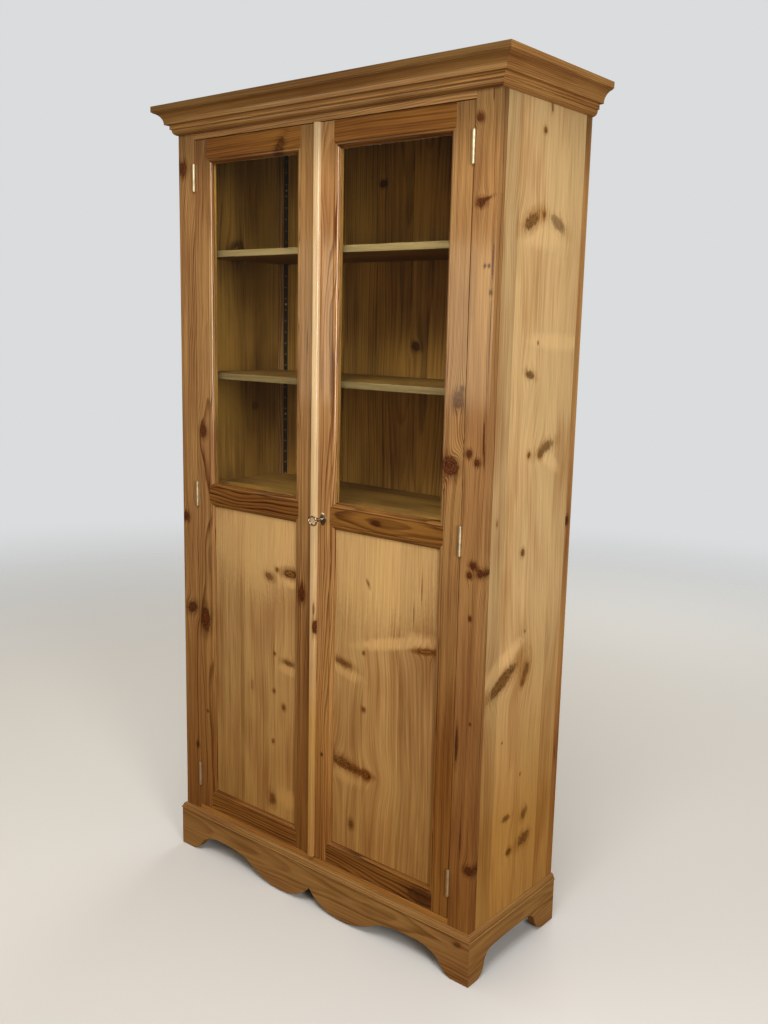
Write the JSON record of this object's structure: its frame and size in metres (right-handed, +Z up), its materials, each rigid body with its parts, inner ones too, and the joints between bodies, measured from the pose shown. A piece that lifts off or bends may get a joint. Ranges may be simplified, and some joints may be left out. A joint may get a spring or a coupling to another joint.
{
  "type": "display cabinet",
  "caption": "Pine display cabinet with moulded cornice, two doors glazed above and panelled below, loose shelves, lock with key and a scalloped plinth.",
  "frame": {"origin": "on the floor, under the centre of the cabinet's whole outline", "axes": "+X to the right as seen from the front, +Y to the back, +Z up"},
  "size_m": [1.074, 0.41, 2],
  "materials": {
    "pine_frame": "honey-brown waxed pine, satin",
    "pine_rail": "redder brown waxed pine, satin",
    "pine_panel": "pale waxed pine with knots, satin",
    "pine_side": "pale waxed pine with knots, satin",
    "pine_trim": "brown waxed pine, satin",
    "pine_inside": "plain pine, matt",
    "clear_glass": "clear float glass",
    "bright_steel": "worn bright steel",
    "dark_steel": "dark aged steel",
    "black_strip": "black painted steel"
  },
  "bodies": {
    "case": {"back_boards": "pine_inside", "base_moulding_front": "pine_trim", "base_moulding_left": "pine_trim", "base_moulding_right": "pine_trim", "bottom_board": "pine_inside", "bottom_face_rail": "pine_frame", "carcass_screws": "bright_steel", "corner_blocks": "pine_inside", "cornice_front": "pine_trim", "cornice_left": "pine_trim", "cornice_right": "pine_trim", "fixed_shelf": "pine_inside", "frame_hinge_leaves": "bright_steel", "hinge_pins": "bright_steel", "left_face_stile": "pine_frame", "left_rear_post": "pine_rail", "left_side": "pine_side", "lower_shelf": "pine_inside", "plinth_back": "pine_trim", "plinth_front": "pine_trim", "plinth_left": "pine_trim", "plinth_right": "pine_trim", "right_face_stile": "pine_frame", "right_rear_post": "pine_rail", "right_side": "pine_side", "shelf_clips": "black_strip", "shelf_strips": "black_strip", "top_board": "pine_inside", "top_face_rail": "pine_frame"},
    "left_door": {"left_door_bottom_rail": "pine_frame", "left_door_glass": "clear_glass", "left_door_glazing_beads": "pine_frame", "left_door_hinge_leaves": "bright_steel", "left_door_hinge_stile": "pine_frame", "left_door_lock_rail": "pine_rail", "left_door_meeting_stile": "pine_frame", "left_door_panel": "pine_panel", "left_door_screws": "bright_steel", "left_door_top_rail": "pine_rail", "slide_bolt_plates": "dark_steel", "strike_plate": "dark_steel"},
    "right_door": {"cover_bead": "pine_frame", "escutcheon": "dark_steel", "lock_case": "dark_steel", "right_door_bottom_rail": "pine_frame", "right_door_glass": "clear_glass", "right_door_glazing_beads": "pine_frame", "right_door_hinge_leaves": "bright_steel", "right_door_hinge_stile": "pine_frame", "right_door_lock_rail": "pine_rail", "right_door_meeting_stile": "pine_frame", "right_door_panel": "pine_panel", "right_door_screws": "bright_steel", "right_door_top_rail": "pine_rail"},
    "key": {"key": "dark_steel"},
    "lock_bolt": {"lock_bolt": "dark_steel"},
    "top_slide_bolt": {"top_slide_bolt": "dark_steel"},
    "bottom_slide_bolt": {"bottom_slide_bolt": "dark_steel"},
    "upper_shelf": {"upper_shelf": "pine_inside"},
    "middle_shelf": {"middle_shelf": "pine_inside"}
  },
  "joints": [
    {"name": "left_door_hinge", "type": "hinge", "parent": "case", "child": "left_door", "pos_m": [-0.427, -0.1594, 1.022], "axis": [0, 0, -1], "range_deg": [0, 170]},
    {"name": "right_door_hinge", "type": "hinge", "parent": "case", "child": "right_door", "pos_m": [0.427, -0.1594, 1.022], "axis": [0, 0, 1], "range_deg": [0, 170]},
    {"name": "key_turn", "type": "hinge", "parent": "right_door", "child": "key", "pos_m": [0.025, -0.156, 1.014], "axis": [0, -1, 0], "range_deg": [-28, 152]},
    {"name": "lock_bolt_slide", "type": "slide", "parent": "right_door", "child": "lock_bolt", "axis": [-1, 0, 0], "range_m": [-0.00184, 0.01]},
    {"name": "top_bolt_slide", "type": "slide", "parent": "left_door", "child": "top_slide_bolt", "axis": [0, 0, 1], "range_m": [0, 0.012]},
    {"name": "bottom_bolt_slide", "type": "slide", "parent": "left_door", "child": "bottom_slide_bolt", "axis": [0, 0, -1], "range_m": [0, 0.012]},
    {"name": "upper_shelf_lift", "type": "slide", "parent": "case", "child": "upper_shelf", "axis": [0, 0, 1], "range_m": [0, 0.02]},
    {"name": "middle_shelf_lift", "type": "slide", "parent": "case", "child": "middle_shelf", "axis": [0, 0, 1], "range_m": [0, 0.02]}
  ],
  "couplings": [
    {"joint": "key_turn", "follows": "lock_bolt_slide", "rad_per_m": 265.29}
  ]
}
